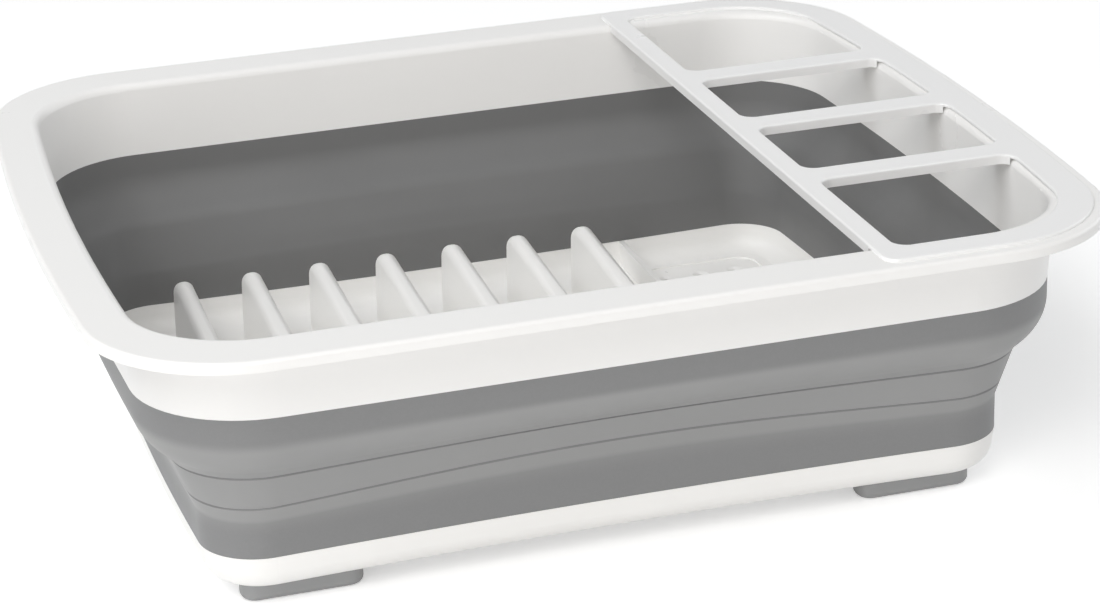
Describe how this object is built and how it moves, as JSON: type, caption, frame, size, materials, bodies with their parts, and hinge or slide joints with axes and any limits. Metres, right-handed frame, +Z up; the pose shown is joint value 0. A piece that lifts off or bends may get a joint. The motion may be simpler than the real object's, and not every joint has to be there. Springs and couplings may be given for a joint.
{
  "type": "collapsible dish rack",
  "caption": "Collapsible dish rack: stiff base with plate fins and drain holes, soft folding wall, wide-rimmed upper frame and a lift-off cutlery frame.",
  "frame": {"origin": "middle of the footprint, on the table that the feet stand on", "axes": "+X along the rack towards the cutlery end, +Y towards the back, +Z up"},
  "size_m": [0.366, 0.322, 0.1092],
  "materials": {
    "white_plastic": "satin moulded polypropylene",
    "cutlery_plastic": "satin moulded polypropylene",
    "soft_grey": "matt soft elastomer",
    "foot_grey": "matt soft elastomer"
  },
  "bodies": {
    "base": {"base_tray": "white_plastic", "wall_lower_band": "soft_grey", "wall_fold": "soft_grey", "foot_front_left": "foot_grey", "foot_front_right": "foot_grey", "foot_rear_left": "foot_grey", "foot_rear_right": "foot_grey"},
    "frame": {"upper_frame": "white_plastic", "wall_upper_band": "soft_grey"},
    "cutlery": {"cutlery_frame": "cutlery_plastic"}
  },
  "joints": [
    {"name": "fold", "type": "slide", "parent": "base", "child": "frame", "axis": [0, 0, -1], "range_m": [0, 0.055], "deforming": ["wall_fold"]},
    {"name": "cutlery_lift", "type": "slide", "parent": "frame", "child": "cutlery", "axis": [0, 0, 1], "range_m": [0, 0.06]}
  ]
}
